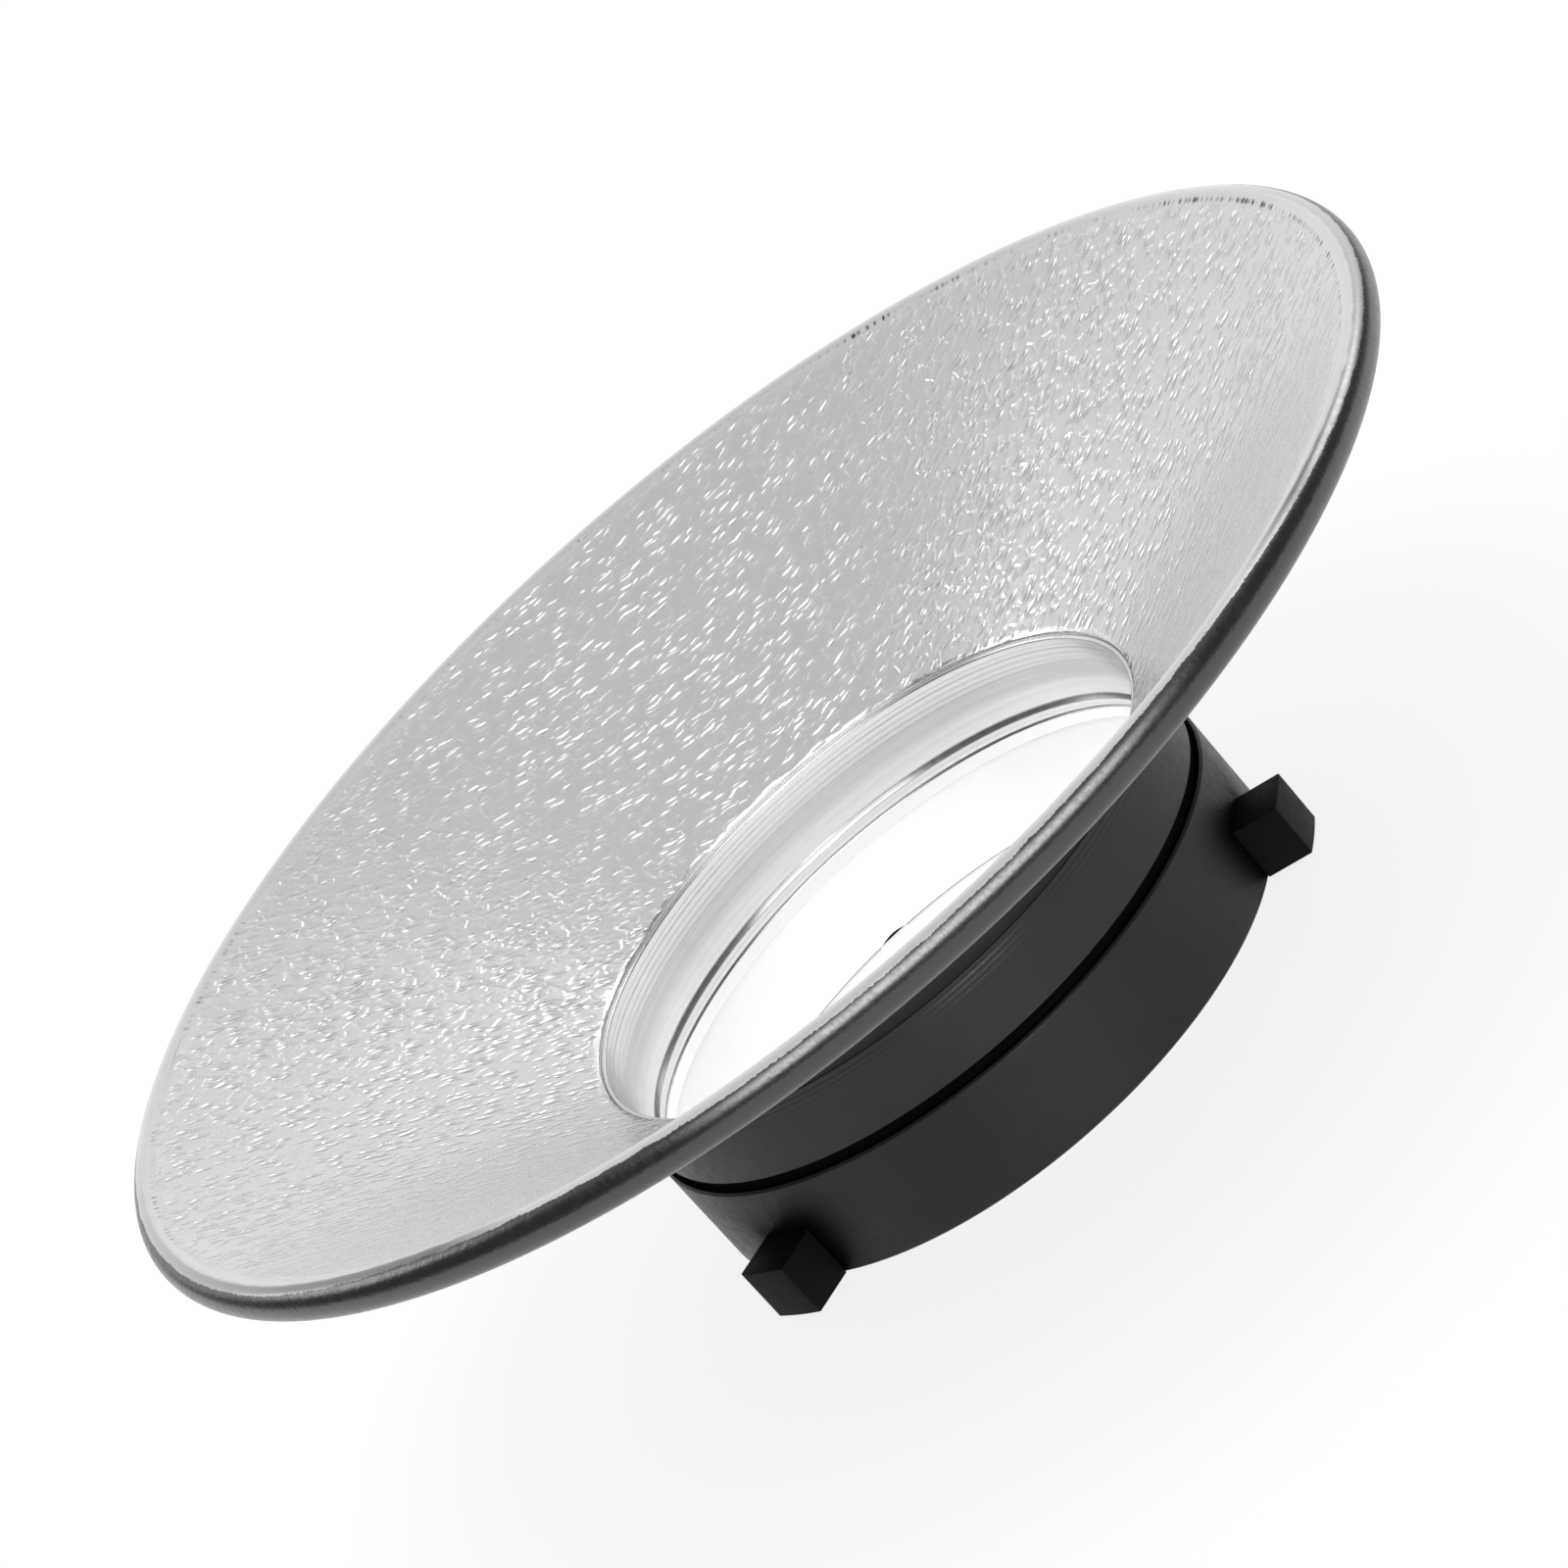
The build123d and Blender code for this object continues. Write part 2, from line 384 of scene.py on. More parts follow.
def pebble_height(nt, vec):
    """Emboss: short separate dimples, longer along X, over faint pebbling. Height is 0 to 1."""
    wob = nd(nt, "ShaderNodeTexNoise", Scale=300.0, Detail=1.0, Roughness=0.5)
    nt.links.new(vec, wob.inputs["Vector"])
    off = nt.nodes.new("ShaderNodeVectorMath")
    off.operation = "MULTIPLY_ADD"
    nt.links.new(wob.outputs["Color"], off.inputs[0])
    off.inputs[1].default_value = (0.0014, 0.0014, 0.0014)
    nt.links.new(vec, off.inputs[2])
    total = None
    for feature, scale, stretch, width, lo, hi, low, depth, seed in (
            ("F1", 720.0, 0.31, 0.54, 0.19, 0.38, 0.40, 1.0, 0.0),
            ("F1", 840.0, 0.34, 0.50, 0.38, 0.56, 0.15, 0.90, 5.1),
            ("DISTANCE_TO_EDGE", 430.0, 0.66, 0.16, 0.46, 0.62, 0.10, 0.34, 3.7)):
        mp = nt.nodes.new("ShaderNodeMapping")
        mp.inputs["Location"].default_value = (seed, seed * 0.7, -seed)
        mp.inputs["Scale"].default_value = (stretch, 1.0, math.sqrt(stretch) * 0.75)
        nt.links.new(off.outputs[0], mp.inputs["Vector"])
        vo = nt.nodes.new("ShaderNodeTexVoronoi")
        vo.feature = feature
        vo.inputs["Scale"].default_value = scale
        vo.inputs["Randomness"].default_value = 0.95
        nt.links.new(mp.outputs["Vector"], vo.inputs["Vector"])
        valley = maprange(nt, vo.outputs["Distance"], 0.0, width, 1.0, 0.0, smooth=True)
        gate = maprange(nt, noise(nt, mp.outputs["Vector"], 620.0, 0.0, 0.5), lo, hi, low, 1.0, smooth=True)
        v = math_node(nt, "MULTIPLY", valley, gate)
        v = math_node(nt, "MULTIPLY", v, depth)
        total = v if total is None else math_node(nt, "MAXIMUM", total, v)
    return math_node(nt, "SUBTRACT", 1.0, total)


def mat_pebbled():
    mt, nt, out = new_mat("pebbled_aluminium")
    vec = coords(nt)
    p = silver(nt, vec, SILVER, 0.27, grain=0.08)
    fine = p.inputs["Normal"].links[0].from_socket
    height = math_node(nt, "MULTIPLY", pebble_height(nt, vec), attr(nt, "emboss"))
    nrm = bump(nt, height, 1.0, EMBOSS_DEPTH, fine)
    nt.links.new(nrm, p.inputs["Normal"])
    nt.links.new(p.outputs[0], out.inputs[0])
    return mt


def mat_rim():
    """The curl: bright over its top, black outside, with a ragged edge to the coat."""
    mt, nt, out = new_mat("curled_rim")
    vec = coords(nt)
    a = silver(nt, vec, (0.82, 0.822, 0.825), 0.30, grain=0.08)
    # painted shade: the colour is darkened where crease_and_painted_shade is high, at the curl's ticks and above the
    # coat's edge at the sides
    crease_and_painted_shade = ramp(nt, attr(nt, "crease_and_painted_shade"), [(0.10, (1, 1, 1)), (0.75, (0.09, 0.09, 0.09))])
    mul = nt.nodes.new("ShaderNodeMix")
    mul.data_type = "RGBA"
    mul.blend_type = "MULTIPLY"
    mul.inputs["Factor"].default_value = 1.0
    src = a.inputs["Base Color"].links[0].from_socket
    nt.links.new(src, mul.inputs[6])
    nt.links.new(crease_and_painted_shade, mul.inputs[7])
    nt.links.new(mul.outputs[2], a.inputs["Base Color"])
    b = coat(nt, vec, 0.010, 0.27, peel=0.32, spec=1.0, scale=1300.0)
    edge = nt.nodes.new("ShaderNodeMath")
    edge.operation = "ADD"
    nt.links.new(attr(nt, "coat"), edge.inputs[0])
    nt.links.new(maprange(nt, noise(nt, vec, 2300.0, 3.0, 0.65), 0.30, 0.70, -0.22, 0.22), edge.inputs[1])
    fac = maprange(nt, edge.outputs[0], 0.40, 0.60, 0.0, 1.0, smooth=True)
    speck = maprange(nt, noise(nt, vec, 1900.0, 3.0, 0.6), 0.34, 0.66, 0.26, 0.46)
    fac = math_node(nt, "MULTIPLY", fac, math_node(nt, "SUBTRACT", 1.0, math_node(nt, "MULTIPLY", speck, attr(nt, "thin"))))
    height = math_node(nt, "MULTIPLY", pebble_height(nt, vec), attr(nt, "emboss"))
    nrm = bump(nt, height, 1.0, EMBOSS_DEPTH, a.inputs["Normal"].links[0].from_socket)
    nt.links.new(nrm, a.inputs["Normal"])
    mx = mix(nt, fac, a, b)
    nt.links.new(mx.outputs[0], out.inputs[0])
    return mt


def mat_coat(name, **kw):
    mt, nt, out = new_mat(name)
    vec = coords(nt)
    p = coat(nt, vec, **kw)
    nt.links.new(p.outputs[0], out.inputs[0])
    return mt


def mat_silver(name, base, rough, turned, grain=0.0, bands=False):
    mt, nt, out = new_mat(name)
    vec = coords(nt)
    p = silver(nt, vec, base, rough, turned=turned, grain=grain, bands=bands)
    nt.links.new(p.outputs[0], out.inputs[0])
    return mt


PEBBLED = mat_pebbled()
RIM = mat_rim()
COAT_DISH = mat_coat("satin_black_dish", base=0.022, rough=0.46)
COAT_NECK = mat_coat("satin_black_neck", base=0.019, rough=0.42, peel=0.22, spec=0.24)
COAT_RING = mat_coat("satin_black_ring", base=0.013, rough=0.42, peel=0.30, spec=0.24, contact=True)
COAT_LUG = mat_coat("satin_black_lug", base=0.0045, rough=0.42, peel=0.20, spec=0.045)
# painted shade: a near-black coat for the groove between neck and ring and for the ring's top ledge, standing in for
# the shade there
GAP_PAINTED_SHADE = mat_coat("groove_painted_shade", base=0.0022, rough=0.60, peel=0.05, spec=0.01)
SPUN = mat_silver("spun_aluminium", (0.88, 0.882, 0.885), 0.22, turned=0.22)
SPUN_NECK = mat_silver("spun_neck", (0.90, 0.902, 0.905), 0.22, turned=0.22, bands=True)
BORE = mat_silver("bright_bore", (0.985, 0.986, 0.988), 0.62, turned=0.0)


# ---------------------------------------------------------------- the dish
def build_dish():
    n = 1800
    # inner face, from the hole's edge to where the curl starts, with finer rows at both ends
    r0, r1 = DISH_EDGE_R + 0.05, T_OUT[0]
    ra, rb = 50.0, r1 - 2.0
    inner = (seg_pts((r0, wall_top(r0)), (ra, wall_top(ra)), 12) + seg_pts((ra, wall_top(ra)), (rb, wall_top(rb)), 30)
             + seg_pts((rb, wall_top(rb)), T_OUT, 16))
    curl = arc_pts((RIM_R, RIM_Z), CURL_R, N_DEG, -171.0, 60)
    e_out = (RIM_R + CURL_R * math.cos(math.radians(-171)), RIM_Z + CURL_R * math.sin(math.radians(-171)))
    hollow = arc_pts((RIM_R, RIM_Z), CI, -171.0, N_DEG, 22)
    under = seg_pts(T_IN, (DISH_EDGE_R, wall_under(DISH_EDGE_R)), 12)
    edge = [(DISH_EDGE_R, wall_under(DISH_EDGE_R)), (DISH_EDGE_R, wall_top(DISH_EDGE_R) - 0.05)]
    prof = np.array(inner + curl + [e_out] + hollow + under + edge)
    k = len(prof)
    t = (np.arange(n) / n * TAU)[:, None]
    R = np.repeat(prof[None, :, 0], n, 0)
    Z = np.repeat(prof[None, :, 1], n, 0)
    ki, kc = len(inner), len(curl)
    # how far the emboss reaches, at the curl and at the hole
    s = (R[:, :ki] - NECK_IN) / math.cos(CONE)
    total = (T_OUT[0] - NECK_IN) / math.cos(CONE)
    wander = 0.35 * ring_noise(t, 3, 4, 40)
    emboss = np.zeros((n, k))
    emboss[:, :ki] = np.clip((total - 0.2 + wander - s) / 0.8, 0, 1) * np.clip((s - 1.0 + wander * 0.8) / 0.6, 0, 1)
    # ticks where the emboss runs into the curl, dented there and darkened in the colour as painted shade
    rng = np.random.default_rng(17)
    tick = np.zeros((n, 1))
    pos = 0.0
    tt = np.arange(n) / n * TAU
    while pos < TAU:
        pos += rng.uniform(0.8, 1.9) / 104.8
        w = rng.uniform(0.18, 0.42) / 104.8
        a = rng.uniform(0.25, 1.0)
        d = (tt - pos + math.pi) % TAU - math.pi
        tick[:, 0] += a * np.exp(-(d / w) ** 2)
    tz = np.array([(-180, .3), (-137, .3), (-132, .6), (-116, .6), (-112, .3), (-97, .4), (-94, .6), (-85, .6), (-80, .3),
                   (-40, .1), (40, .1), (64, .5), (70, 1.2), (112, 1.2), (118, .5), (134, .4), (139, 1.1), (150, 1.0),
                   (156, .3), (180, .3)], float)
    zone = np.interp(np.degrees((t[:, 0] + math.pi) % TAU - math.pi), tz[:, 0], tz[:, 1])[:, None]
    patchy = np.clip(zone * (0.85 + 0.5 * ring_noise(t, 9, 20, 60)), 0.0, 1.3)
    tick = np.clip(tick * patchy * 1.15, 0, 1.2)
    phi = np.degrees(np.arctan2(prof[:, 1] - RIM_Z, prof[:, 0] - RIM_R))
    along = np.zeros(k)      # distance from the curl's start, up the wall negative
    along[:ki] = -(T_OUT[0] - prof[:ki, 0]) / math.cos(CONE)
    along[ki:ki + kc] = np.radians(N_DEG - (N_DEG - np.arange(kc) * (N_DEG + 171.0) / kc)) * CURL_R
    along[ki + kc:] = 99
    span = np.exp(-((along + 0.20) / 0.46) ** 2)[None, :]
    crease_and_painted_shade = np.clip(tick * span, 0, 1)
    dep = np.zeros((n, k))
    dep -= 0.07 * crease_and_painted_shade
    # a faint step all round where the roller began the curl
    dep -= 0.03 * np.exp(-((along - 0.1) / 0.25) ** 2)[None, :]
    nx = np.zeros(k)
    nz = np.zeros(k)
    nx[:ki], nz[:ki] = -math.sin(CONE), math.cos(CONE)
    nx[ki:ki + kc] = np.cos(np.radians(phi[ki:ki + kc]))
    nz[ki:ki + kc] = np.sin(np.radians(phi[ki:ki + kc]))
    R = R + dep * nx[None, :]
    Z = Z + dep * nz[None, :]
    # where the coat ends on the curl, in degrees round its section
    knots = [(-180, 58), (-150, 62), (-120, 57), (-95, 66), (-82, 68), (-70, 63), (-62, 60), (-54, 66), (-46, 74),
             (-38, 73), (-28, 69), (-16, 58), (-4, 57), (8, 60), (20, 66), (27, 66), (38, 57), (48, 49), (58, 42),
             (68, 44), (80, 49), (95, 55), (120, 61), (150, 56), (180, 58)]
    ka = np.array(knots, float)
    line = np.interp(np.degrees((t[:, 0] + math.pi) % TAU - math.pi), ka[:, 0], ka[:, 1])
    line = line + 1.6 * ring_noise(t[:, 0], 13, 30, 140)
    coatv = np.zeros((n, k))
    ph = np.unwrap(np.radians(phi[ki:ki + kc]))
    ph = N_DEG - np.arange(kc) * (N_DEG + 171.0) / kc
    coatv[:, ki:ki + kc] = np.clip(0.5 + (line[:, None] - ph[None, :]) / 12.0, 0, 1)
    coatv[:, ki + kc:] = 1.0
    # painted shade: the curl's colour is darkened just above the coat's edge at the sides, from 32 to 110 degrees round
    tdeg = np.degrees((t + math.pi) % TAU - math.pi)
    side = np.interp(np.abs(tdeg), [32, 42, 60, 78, 96, 110], [0.0, 0.60, 0.50, 0.32, 0.20, 0.0])
    painted_side_shade = side * np.exp(-(np.maximum(np.abs(ph[None, :] - line[:, None] - 13) - 11, 0) / 8.0) ** 2)
    crease_and_painted_shade[:, ki:ki + kc] = np.maximum(crease_and_painted_shade[:, ki:ki + kc], painted_side_shade)
    # along the near edge the coat is thin and speckled
    td = np.degrees((t + math.pi) % TAU - math.pi)
    worn = np.clip((24 - np.abs(td - 2)) / 9, 0, 1) * np.exp(-((ph[None, :] - 35) / 13.0) ** 2)
    thin = np.zeros((n, k))
    thin[:, ki:ki + kc] = worn
    fm = np.zeros((n, k), int)
    fm[:, ki - 16:] = 1
    fm[:, ki + kc:] = 2
    fm[:, k - 2:] = 0
    ob = spun_mesh("dish_shell", R, Z, {"coat": coatv, "crease_and_painted_shade": crease_and_painted_shade, "emboss": emboss, "thin": thin},
                   (PEBBLED, RIM, COAT_DISH), fm)
    shade(ob, 50)
    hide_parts("reflector_dish")
    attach(ob, "root")
    return ob


# ---------------------------------------------------------------- the neck
def build_neck():
    lip = 0.35
    lc = (NECK_IN + lip, LIP_TOP - lip)
    lo = NECK_IN + 2 * lip
    pts = []
    tag = []            # 0 bright, 1 black

    def add(ps, tg):
        pts.extend(ps)
        tag.extend([tg] * len(ps))

    add(arc_pts(lc, lip, 180, 0, 14), 0)
    add(seg_pts((lo, lc[1]), (lo, wall_under(lo) - 0.02), 3), 0)
    add(seg_pts((lo, wall_under(lo) - 0.02), (NECK_OUT - 0.1, wall_under(NECK_OUT) - 0.05), 3), 1)
    # outside, downwards
    z = np.arange(wall_under(NECK_OUT) - 0.15, 18.60, -0.09)
    lines = np.zeros_like(z)
    for zc, a, w in ((29.38, 0.030, 0.11), (28.86, -0.060, 0.13), (28.50, 0.030, 0.10), (28.08, -0.052, 0.12),
                     (27.66, 0.028, 0.10), (27.25, -0.040, 0.12), (26.6, 0.006, 0.12), (25.9, -0.006, 0.14)):
        lines += a * np.exp(-((z - zc) / w) ** 2)
    add([(NECK_OUT + q, zz) for q, zz in zip(lines - 0.035, z)], 1)
    add([(NECK_OUT - 0.03, 18.56)], 1)
    add(arc_pts((NECK_OUT - 0.15, 18.50), 0.12, 0, -20, 2), 1)
    # painted shade: the groove's faces take the near-black groove coat
    add(arc_pts((NECK_OUT - 0.15, 18.50), 0.12, -20, -62, 3), 2)
    add([(47.66, 18.09), (47.57, 18.02), (47.55, 17.9), (47.55, 17.1), (47.58, 17.0), (48.0, 16.66), (48.03, 16.58)], 2)
    add([(48.03, RING_SEAT + 0.02), (47.40, RING_SEAT + 0.02), (47.40, 16.62)], 1)
    # inside, upwards
    add([(46.90, 16.62), (46.84, 16.68)], 0)
    add(arc_pts((46.60, 17.42), 0.28, 215, 180, 4), 0)
    add([(46.32, 17.45), (46.32, 17.75), (46.35, 17.86), (46.32, 17.98), (46.32, 18.35)], 0)
    add(arc_pts((46.60, 18.40), 0.28, 180, 130, 4), 0)
    add([(46.70, 19.02), (46.80, 19.22), (46.84, 19.38)], 0)
    z = np.arange(19.5, lc[1] - 0.02, 0.09)
    lines = np.zeros_like(z)
    for zc, a, w in ((29.35, 0.024, 0.14), (28.62, 0.027, 0.12), (28.20, -0.024, 0.10), (27.72, 0.017, 0.12),
                     (27.28, -0.018, 0.10), (26.80, 0.019, 0.12), (26.38, -0.017, 0.10), (25.86, 0.018, 0.14),
                     (24.10, 0.007, 0.20), (22.4, -0.004, 0.25), (20.6, 0.004, 0.2)):
        lines += a * np.exp(-((z - zc) / w) ** 2)
    add([(NECK_IN + q, zz) for q, zz in zip(lines, z)], 0)
    prof = np.array(pts)
    n = 720
    R = np.repeat(prof[None, :, 0], n, 0)
    Z = np.repeat(prof[None, :, 1], n, 0)
    # painted shade: the inside of the neck is darker by height, most at 23.6 to 25.6 mm, standing in for its shading
    tone_and_painted_shade = np.interp(prof[:, 1], [15, 19.4, 20.5, 22.0, 23.6, 25.6, 26.6, 28.0, 30.5],
                     [0.86, 0.86, 0.84, 0.80, 0.64, 0.66, 0.78, 0.84, 0.92])
    # painted shade: the ridge's lines are dark in the colour, standing in for the shadows along the rolled ridge
    for zc, a, w in ((19.05, 0.30, 0.12), (18.42, 0.10, 0.08), (17.60, 0.22, 0.08), (16.66, 0.40, 0.08)):
        tone_and_painted_shade -= a * np.exp(-((prof[:, 1] - zc) / w) ** 2)
    ob = spun_mesh("neck_sleeve", R, Z, {"tone_and_painted_shade": tone_and_painted_shade[None, :]}, (SPUN_NECK, COAT_NECK, GAP_PAINTED_SHADE), np.array(tag)[None, :])
    shade(ob, 40)
    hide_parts("neck_collar")
    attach(ob, "root")
    return ob


def build_keeper():
    pts = rounded([(46.75, 14.32), (47.38, 14.32), (47.38, 16.60), (46.75, 16.60)], [0.22, 0.05, 0.05, 0.30], 5)
    prof = np.array(even(pts, 0.4))
    n = 720
    ob = spun_mesh("keeper_ring", np.repeat(prof[None, :, 0], n, 0), np.repeat(prof[None, :, 1], n, 0), None, (SPUN,))
    shade(ob, 40)
    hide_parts("retaining_ring")
    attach(ob, "root")
    return ob


# ------------------------------------------------------------ the mount ring
def block_mesh(name, verts, faces):
    mesh = bpy.data.meshes.new(name)
    mesh.from_pydata([tuple(c * MM for c in v) for v in verts], [], faces)
    mesh.update()
    return link(name, mesh)


def key_outline(width, height, end_height, cutter=False):
    """The key's outline in (x, z): flat below, crowned above. A cutter reaches below the ring."""
    w, rise = width / 2, height - end_height
    rad = (w * w + rise * rise) / (2 * rise)
    pts = []
    for i in range(25):
        x = w - 2 * w * i / 24
        pts.append((x, height - rad + math.sqrt(rad * rad - x * x)))
    low = -1.0 if cutter else 0.0
    return [(w, low)] + pts + [(-w, low)]


def prism(name, outline, y0, y1, deg):
    """Extrudes an (x, z) outline along -Y from y0 to y1 (mm from the axis), then turns it."""
    k = len(outline)
    vs = [(x, -y0, z) for x, z in outline] + [(x, -y1, z) for x, z in outline]
    fs = [tuple(range(k))[::-1], tuple(range(k, 2 * k))]
    fs += [(i, (i + 1) % k, (i + 1) % k + k, i + k) for i in range(k)]
    a = math.radians(deg)
    vs = [(x * math.cos(a) - y * math.sin(a), x * math.sin(a) + y * math.cos(a), z) for x, y, z in vs]
    ob = block_mesh(name, vs, fs)
    bm = bmesh.new()
    bm.from_mesh(ob.data)
    bmesh.ops.recalc_face_normals(bm, faces=bm.faces)
    bm.to_mesh(ob.data)
    bm.free()
    return ob


def apply_boolean(ob, cutters, op="DIFFERENCE"):
    for c in cutters:
        md = ob.modifiers.new("cut", "BOOLEAN")
        md.operation = op
        md.solver = "EXACT"
        md.object = c
    dg = bpy.context.evaluated_depsgraph_get()
    mesh = bpy.data.meshes.new_from_object(ob.evaluated_get(dg))
    old = ob.data
    ob.modifiers.clear()
    ob.data = mesh
    bpy.data.meshes.remove(old)
    for c in cutters:
        me = c.data
        bpy.data.objects.remove(c)
        bpy.data.meshes.remove(me)


def build_ring():
    c = 0.35
    corners = [(RING_IN, 0.50), (RING_IN + 0.32, 0.50 - 0.32 / 1.2), (RING_IN + 0.60, 0.0), (RING_OUT - c, 0.0), (RING_OUT, c),
               (RING_OUT, RING_TOP - c), (RING_OUT - c, RING_TOP), (RING_SEAT_R, RING_TOP),
               (RING_SEAT_R, RING_SEAT), (RING_IN, RING_SEAT)]
    pts = rounded(corners, [0.08, 0.0, 0.04, 0.12, 0.15, 0.18, 0.15, 0.08, 0.0, 0.10], 3)
    prof = np.array(even(pts, 1.5))
    n = 720
    # bright inside: bore, seat and rear bore chamfer
    mid = 0.5 * (prof + np.roll(prof, -1, 0))
    tag = np.where((mid[:, 0] > 48.30) | ((mid[:, 1] < 0.24) & (mid[:, 0] > RING_IN + 0.30)), 1, 0)
    # painted shade: the ring's top ledge takes the near-black groove coat
    tag = np.where((mid[:, 1] > RING_TOP - 0.03) & (mid[:, 0] < RING_OUT - c - 0.02), 2, tag)
    ob = spun_mesh("bayonet_ring", np.repeat(prof[None, :, 0], n, 0), np.repeat(prof[None, :, 1], n, 0), None,
                   (BORE, COAT_RING, GAP_PAINTED_SHADE), tag[None, :])
    cutters = []
    for name, deg in LUG_ANGLES.items():
        cutters.append(prism("cut_" + name, key_outline(KEY_W + 0.10, KEY_H + 0.05, KEY_END + 0.05, True), 45.0, 50.5, deg))
    for name, deg in LUG_ANGLES.items():
        cutters.append(rivet_cutter("cutr_" + name, deg))
    apply_boolean(ob, cutters)
    co = np.empty(len(ob.data.vertices) * 3, np.float32)
    ob.data.vertices.foreach_get("co", co)
    co = co.reshape(-1, 3) / MM
    az = np.degrees(np.arctan2(co[:, 0], -co[:, 1]))
    # painted shade: a mask of closeness to each lug, which darkens the ring's coat there
    near = np.zeros(len(co))
    for deg in LUG_ANGLES.values():
        arc = np.abs((az - deg + 180) % 360 - 180) * math.radians(RING_OUT)
        gap = np.hypot(np.maximum(arc - LUG_W / 2, 0), np.maximum(co[:, 2] - LUG_H, 0))
        near = np.maximum(near, np.exp(-(gap / 5.2) ** 1.6))
    a = ob.data.attributes.new("near", "FLOAT", "POINT")
    a.data.foreach_set("value", near.astype(np.float32))
    shade(ob, 32)
    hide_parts("mount_ring")
    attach(ob, "root")
    return ob


def rivet_cutter(name, deg):
    n = 48
    slope = (2.80 - 1.60) / 1.70
    rows = [(2.74 + 0.3 * slope, 45.9), (1.55, 47.84), (1.55, 50.5)]
    vs, fs = [], []
    for r, y in rows:
        for i in range(n):
            a = TAU * i / n
            vs.append((r * math.cos(a), -y, 4.60 + r * math.sin(a)))
    for q in range(len(rows) - 1):
        fs += [(q * n + i, q * n + (i + 1) % n, (q + 1) * n + (i + 1) % n, (q + 1) * n + i) for i in range(n)]
    fs += [tuple(range(n))[::-1], tuple(range((len(rows) - 1) * n, len(rows) * n))]
    a = math.radians(deg)
    vs = [(x * math.cos(a) - y * math.sin(a), x * math.sin(a) + y * math.cos(a), z) for x, y, z in vs]
    ob = block_mesh(name, vs, fs)
    bm = bmesh.new()
    bm.from_mesh(ob.data)
    bmesh.ops.recalc_face_normals(bm, faces=bm.faces)
    bm.to_mesh(ob.data)
    bm.free()
    return ob


# ---------------------------------------------------------------- the lugs
def build_lug(node, deg):
    """A rectangular lug: block with a curved tip, small edge rounds, and its key."""
    hw = LUG_W / 2
    bm = bmesh.new()
    # a grid over the block's plan, then extruded in z
    nx = 12
    xs = [(-hw + LUG_W * i / nx) for i in range(nx + 1)]
    root = [(x, -math.sqrt((RING_OUT + 0.01) ** 2 - x * x)) for x in xs]
    tip = [(x, -math.sqrt(LUG_TIP ** 2 - x * x)) for x in xs]
    loop = root + tip[::-1]
    lowv = [bm.verts.new((x * MM, y * MM, 0.0)) for x, y in loop]
    highv = [bm.verts.new((x * MM, y * MM, LUG_H * MM)) for x, y in loop]
    k = len(loop)
    bm.faces.new(lowv)
    bm.faces.new(highv[::-1])
    for i in range(k):
        bm.faces.new((lowv[i], highv[i], highv[(i + 1) % k], lowv[(i + 1) % k]))
    bmesh.ops.recalc_face_normals(bm, faces=bm.faces)
    bm.normal_update()

    def outer(e):
        a, b = (v.co for v in e.verts)
        ra, rb = math.hypot(a.x, a.y), math.hypot(b.x, b.y)
        tip_r = LUG_TIP * MM - 1e-6
        at_tip = ra > tip_r and rb > tip_r
        side = abs(abs(a.x) - hw * MM) < 1e-7 and abs(abs(b.x) - hw * MM) < 1e-7
        flat = abs(a.z - b.z) < 1e-9
        if at_tip and flat:
            return True
        if at_tip and side:
            return True
        return side and flat and abs(a.x - b.x) < 1e-9

    sel = [e for e in bm.edges if outer(e)]
    bmesh.ops.bevel(bm, geom=sel, offset=0.15 * MM, segments=3, profile=0.6, affect="EDGES")
    mesh = bpy.data.meshes.new(node + "_block")
    bm.to_mesh(mesh)
    bm.free()
    ob = link(node + "_block", mesh)
    ob.data.transform(Matrix.Rotation(math.radians(deg), 4, "Z"))
    key = prism("key_" + node, key_outline(KEY_W, KEY_H, KEY_END), KEY_IN, RING_OUT + 1.5, deg)
    apply_boolean(ob, [key], "UNION")
    ob.data.materials.clear()
    ob.data.materials.append(COAT_LUG)
    ob.data.polygons.foreach_set("material_index", np.zeros(len(ob.data.polygons), np.int32))
    shade(ob, 30)
    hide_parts(node)
    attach(ob, "root")
    return ob


build_dish()
build_neck()
build_keeper()
build_ring()
for node, deg in LUG_ANGLES.items():
    build_lug(node, deg)
riv = frame["nodes"]["lug_rivets"]
riv.data.materials.clear()
riv.data.materials.append(BORE)

# ------------------------------------------------------------ floor and lights
FLOOR_Z = -0.0004
floor_mesh = bpy.data.meshes.new("floor")
bm = bmesh.new()
bmesh.ops.create_grid(bm, x_segments=8, y_segments=8, size=8.0)
bm.to_mesh(floor_mesh)
bm.free()
floor = link("floor", floor_mesh)
floor.location = (0, 0, FLOOR_Z)
mt, nt, out = new_mat("pale_floor")
p = nd(nt, "ShaderNodeBsdfPrincipled", Roughness=0.9)
p.inputs["Base Color"].default_value = (0.50, 0.50, 0.50, 1)
p.inputs["Specular IOR Level"].default_value = 0.0
p.inputs["Emission Color"].default_value = (1, 1, 1, 1)
p.inputs["Emission Strength"].default_value = 0.84
nt.links.new(p.outputs[0], out.inputs[0])
floor_mesh.materials.append(mt)

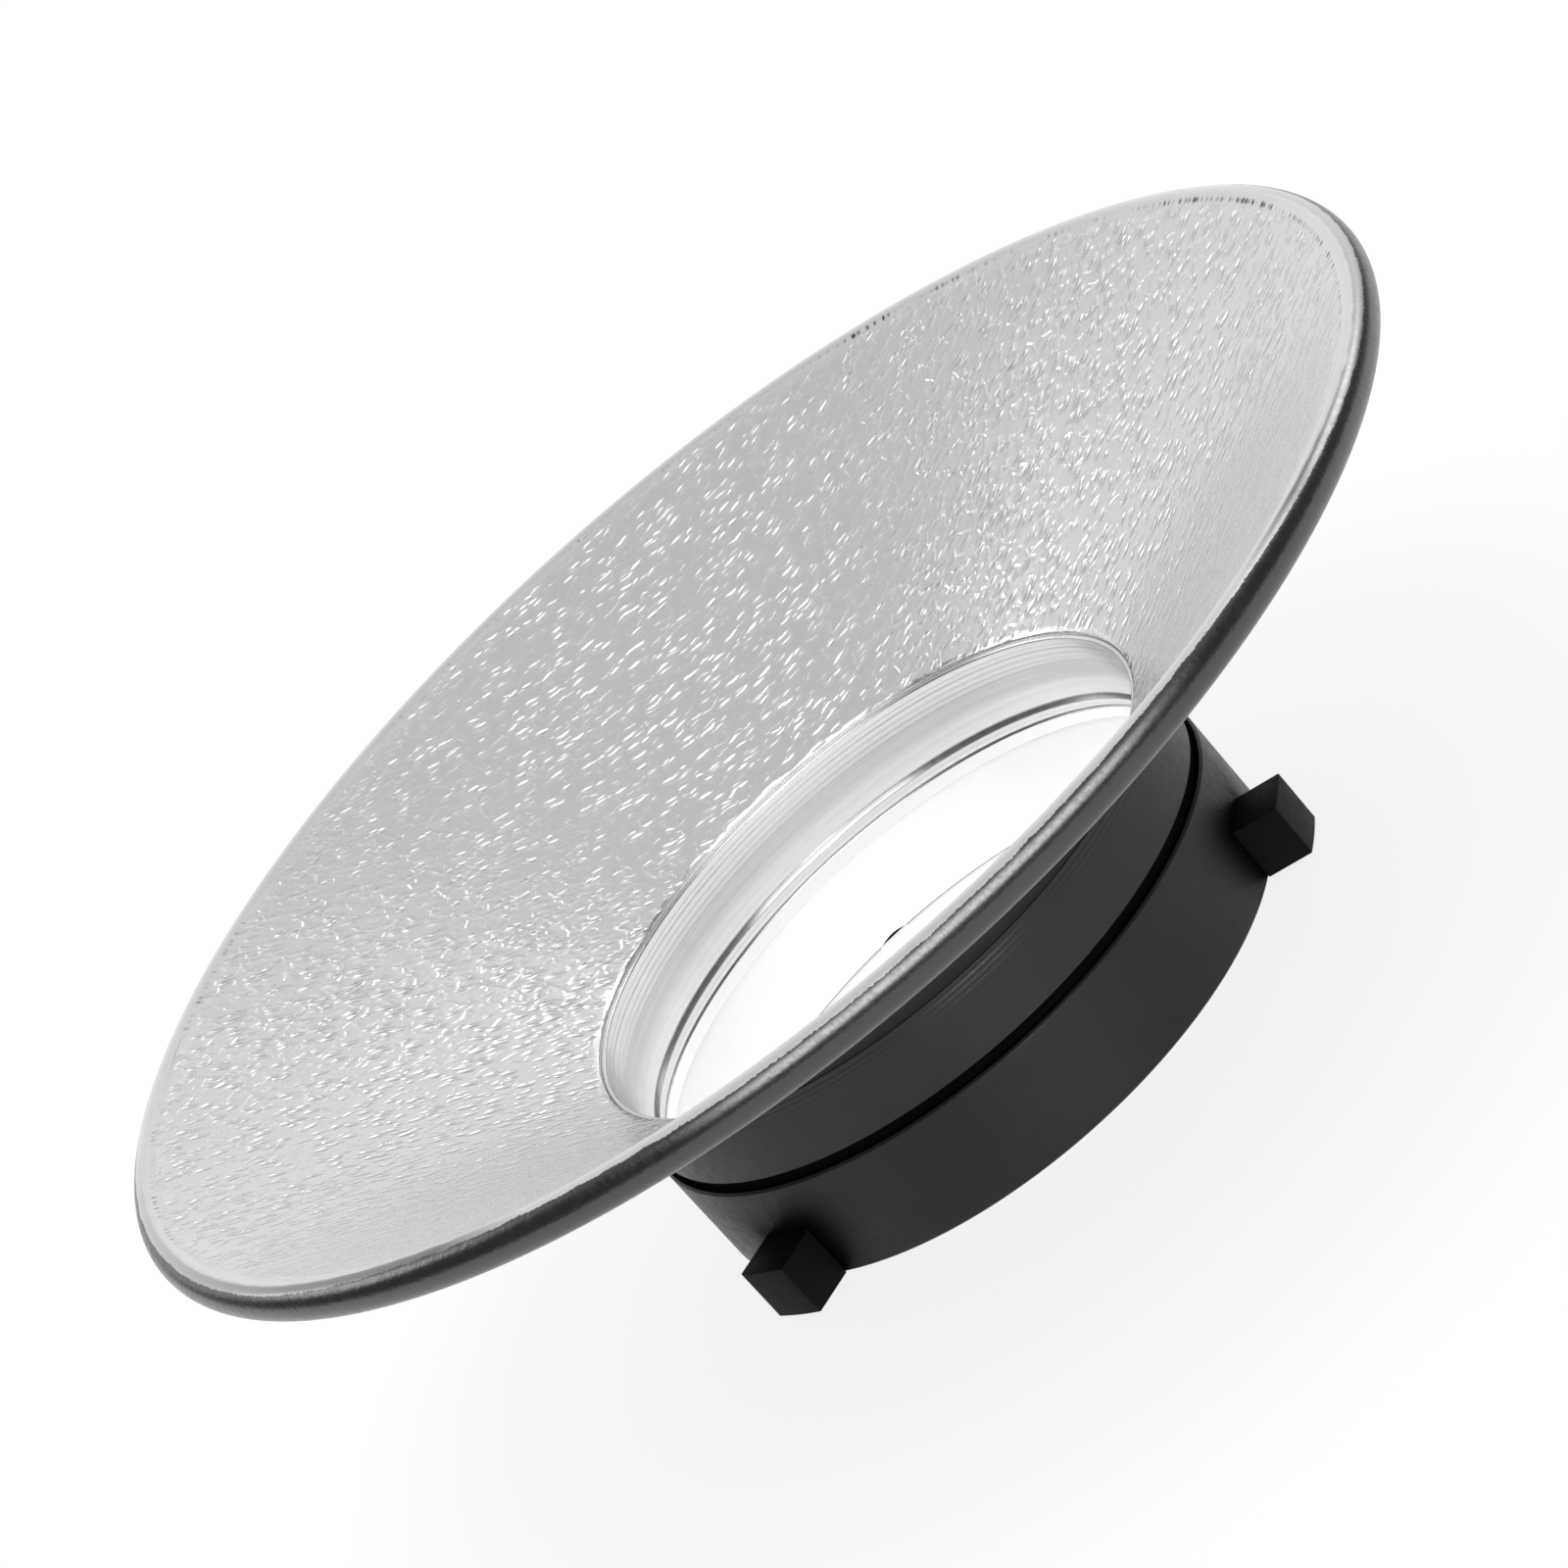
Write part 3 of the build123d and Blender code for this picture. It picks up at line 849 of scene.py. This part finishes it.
# a studio dome: bright behind and to the sides, brighter towards the horizon, and darker in front
world = bpy.data.worlds.new("studio")
world.use_nodes = True
scene.world = world
wt = world.node_tree
bg = wt.nodes["Background"]
sky = wt.nodes.new("ShaderNodeTexCoord").outputs["Generated"]
sep = wt.nodes.new("ShaderNodeSeparateXYZ")
wt.links.new(sky, sep.inputs[0])
rear = ramp(wt, sep.outputs["Z"], [(0.0, (0.95,) * 3), (0.30, (0.88,) * 3), (0.59, (0.76,) * 3), (0.79, (0.66,) * 3),
                                   (0.93, (0.60,) * 3), (1.0, (0.60,) * 3)])
front = ramp(wt, sep.outputs["Z"], [(0.0, (0.32,) * 3), (0.15, (0.16,) * 3), (0.78, (0.16,) * 3), (0.95, (0.60,) * 3)])
sides = math_node(wt, "MULTIPLY_ADD", sep.outputs["X"], 0.07)
wt.nodes[-1].inputs[2].default_value = 1.0
blend = wt.nodes.new("ShaderNodeMix")
blend.data_type = "RGBA"
lean = math_node(wt, "MULTIPLY_ADD", sep.outputs["Z"], 0.9)
wt.links.new(sep.outputs["Y"], wt.nodes[-1].inputs[2])
wt.links.new(maprange(wt, lean, 0.84, 1.00, 0.0, 1.0, smooth=True), blend.inputs["Factor"])
wt.links.new(front, blend.inputs[6])
wt.links.new(rear, blend.inputs[7])
# the dome itself is seen as plain white paper
paper = wt.nodes.new("ShaderNodeMix")
paper.data_type = "RGBA"
paper.inputs[7].default_value = (1.12, 1.12, 1.12, 1.0)
wt.links.new(wt.nodes.new("ShaderNodeLightPath").outputs["Is Camera Ray"], paper.inputs["Factor"])
wt.links.new(blend.outputs[2], paper.inputs[6])
wt.links.new(paper.outputs[2], bg.inputs["Color"])
wt.links.new(sides, bg.inputs["Strength"])

lit = bpy.data.collections.new("lit_pieces")
scene.collection.children.link(lit)


def area(name, elev, azim, half_w, half_h, radiance, dist=1.3, pieces=None):
    """A soft box seen from the object at this elevation and azimuth (from -Y towards +X), in degrees."""
    w, h = 2 * dist * math.tan(math.radians(half_w)), 2 * dist * math.tan(math.radians(half_h))
    e, a = math.radians(elev), math.radians(azim)
    aim = Vector((0, 0, 0.04))
    pos = aim + dist * Vector((math.cos(e) * math.sin(a), -math.cos(e) * math.cos(a), math.sin(e)))
    d = bpy.data.lights.new(name, "AREA")
    d.shape = "RECTANGLE"
    d.size, d.size_y = w, h
    d.energy = radiance * math.pi * w * h
    ob = bpy.data.objects.new(name, d)
    scene.collection.objects.link(ob)
    ob.location = pos
    ob.rotation_mode = "QUATERNION"
    ob.rotation_quaternion = (aim - pos).to_track_quat("-Z", "Y")
    ob.visible_camera = False
    ob.light_linking.receiver_collection = pieces or lit
    return ob


mount_pieces = bpy.data.collections.new("mount_pieces")
scene.collection.children.link(mount_pieces)
bore_pieces = bpy.data.collections.new("bore_pieces")
scene.collection.children.link(bore_pieces)
for ob in list(scene.objects):
    if ob.type == "MESH" and ob is not floor:
        lit.objects.link(ob)
        if ob.name in ("bayonet_ring", "keeper_ring", "lug_rivets"):
            bore_pieces.objects.link(ob)
        if ob.name in ("neck_sleeve", "bayonet_ring") or ob.name.endswith("_block"):
            mount_pieces.objects.link(ob)
area("softbox_top_front", 54, 2, 32, 25, 1.55)
area("softbox_left", 38, -125, 11, 10, 2.7)
area("softbox_right", 38, 125, 11, 10, 2.7)
area("softbox_low", 10, 5, 6, 9, 28.0, pieces=mount_pieces)
area("softbox_bore", 56, 0, 16, 11, 6.0, pieces=bore_pieces)

scene.view_settings.view_transform = "Standard"
scene.view_settings.look = "None"
scene.view_settings.exposure = 0.0
scene.view_settings.gamma = 1.0
